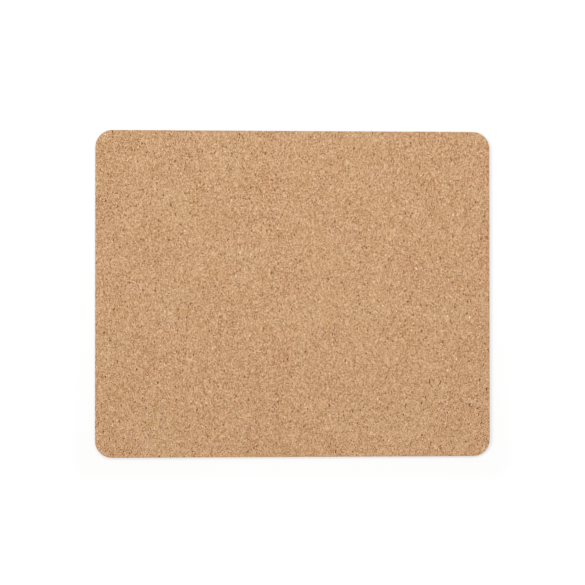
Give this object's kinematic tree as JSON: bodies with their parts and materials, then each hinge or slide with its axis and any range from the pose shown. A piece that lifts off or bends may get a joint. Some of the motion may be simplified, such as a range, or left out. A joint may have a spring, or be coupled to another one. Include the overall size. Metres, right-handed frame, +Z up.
{
  "type": "mouse pad",
  "caption": "Flat rectangular desk pad with rounded corners: agglomerated cork on top for a computer mouse to glide on, bonded to a non-slip rubber base.",
  "frame": {"origin": "on the desk surface, under the middle of the pad", "axes": "+X along the pad's long side, +Y from the user towards the screen, +Z up out of the cork face"},
  "size_m": [0.23, 0.19, 0.0032],
  "materials": {
    "cork": "matte",
    "adhesive": "satin",
    "rubber": "matte"
  },
  "bodies": {
    "root": {"cork_top_sheet": "cork", "adhesive_film": "adhesive", "rubber_base": "rubber"}
  },
  "joints": []
}
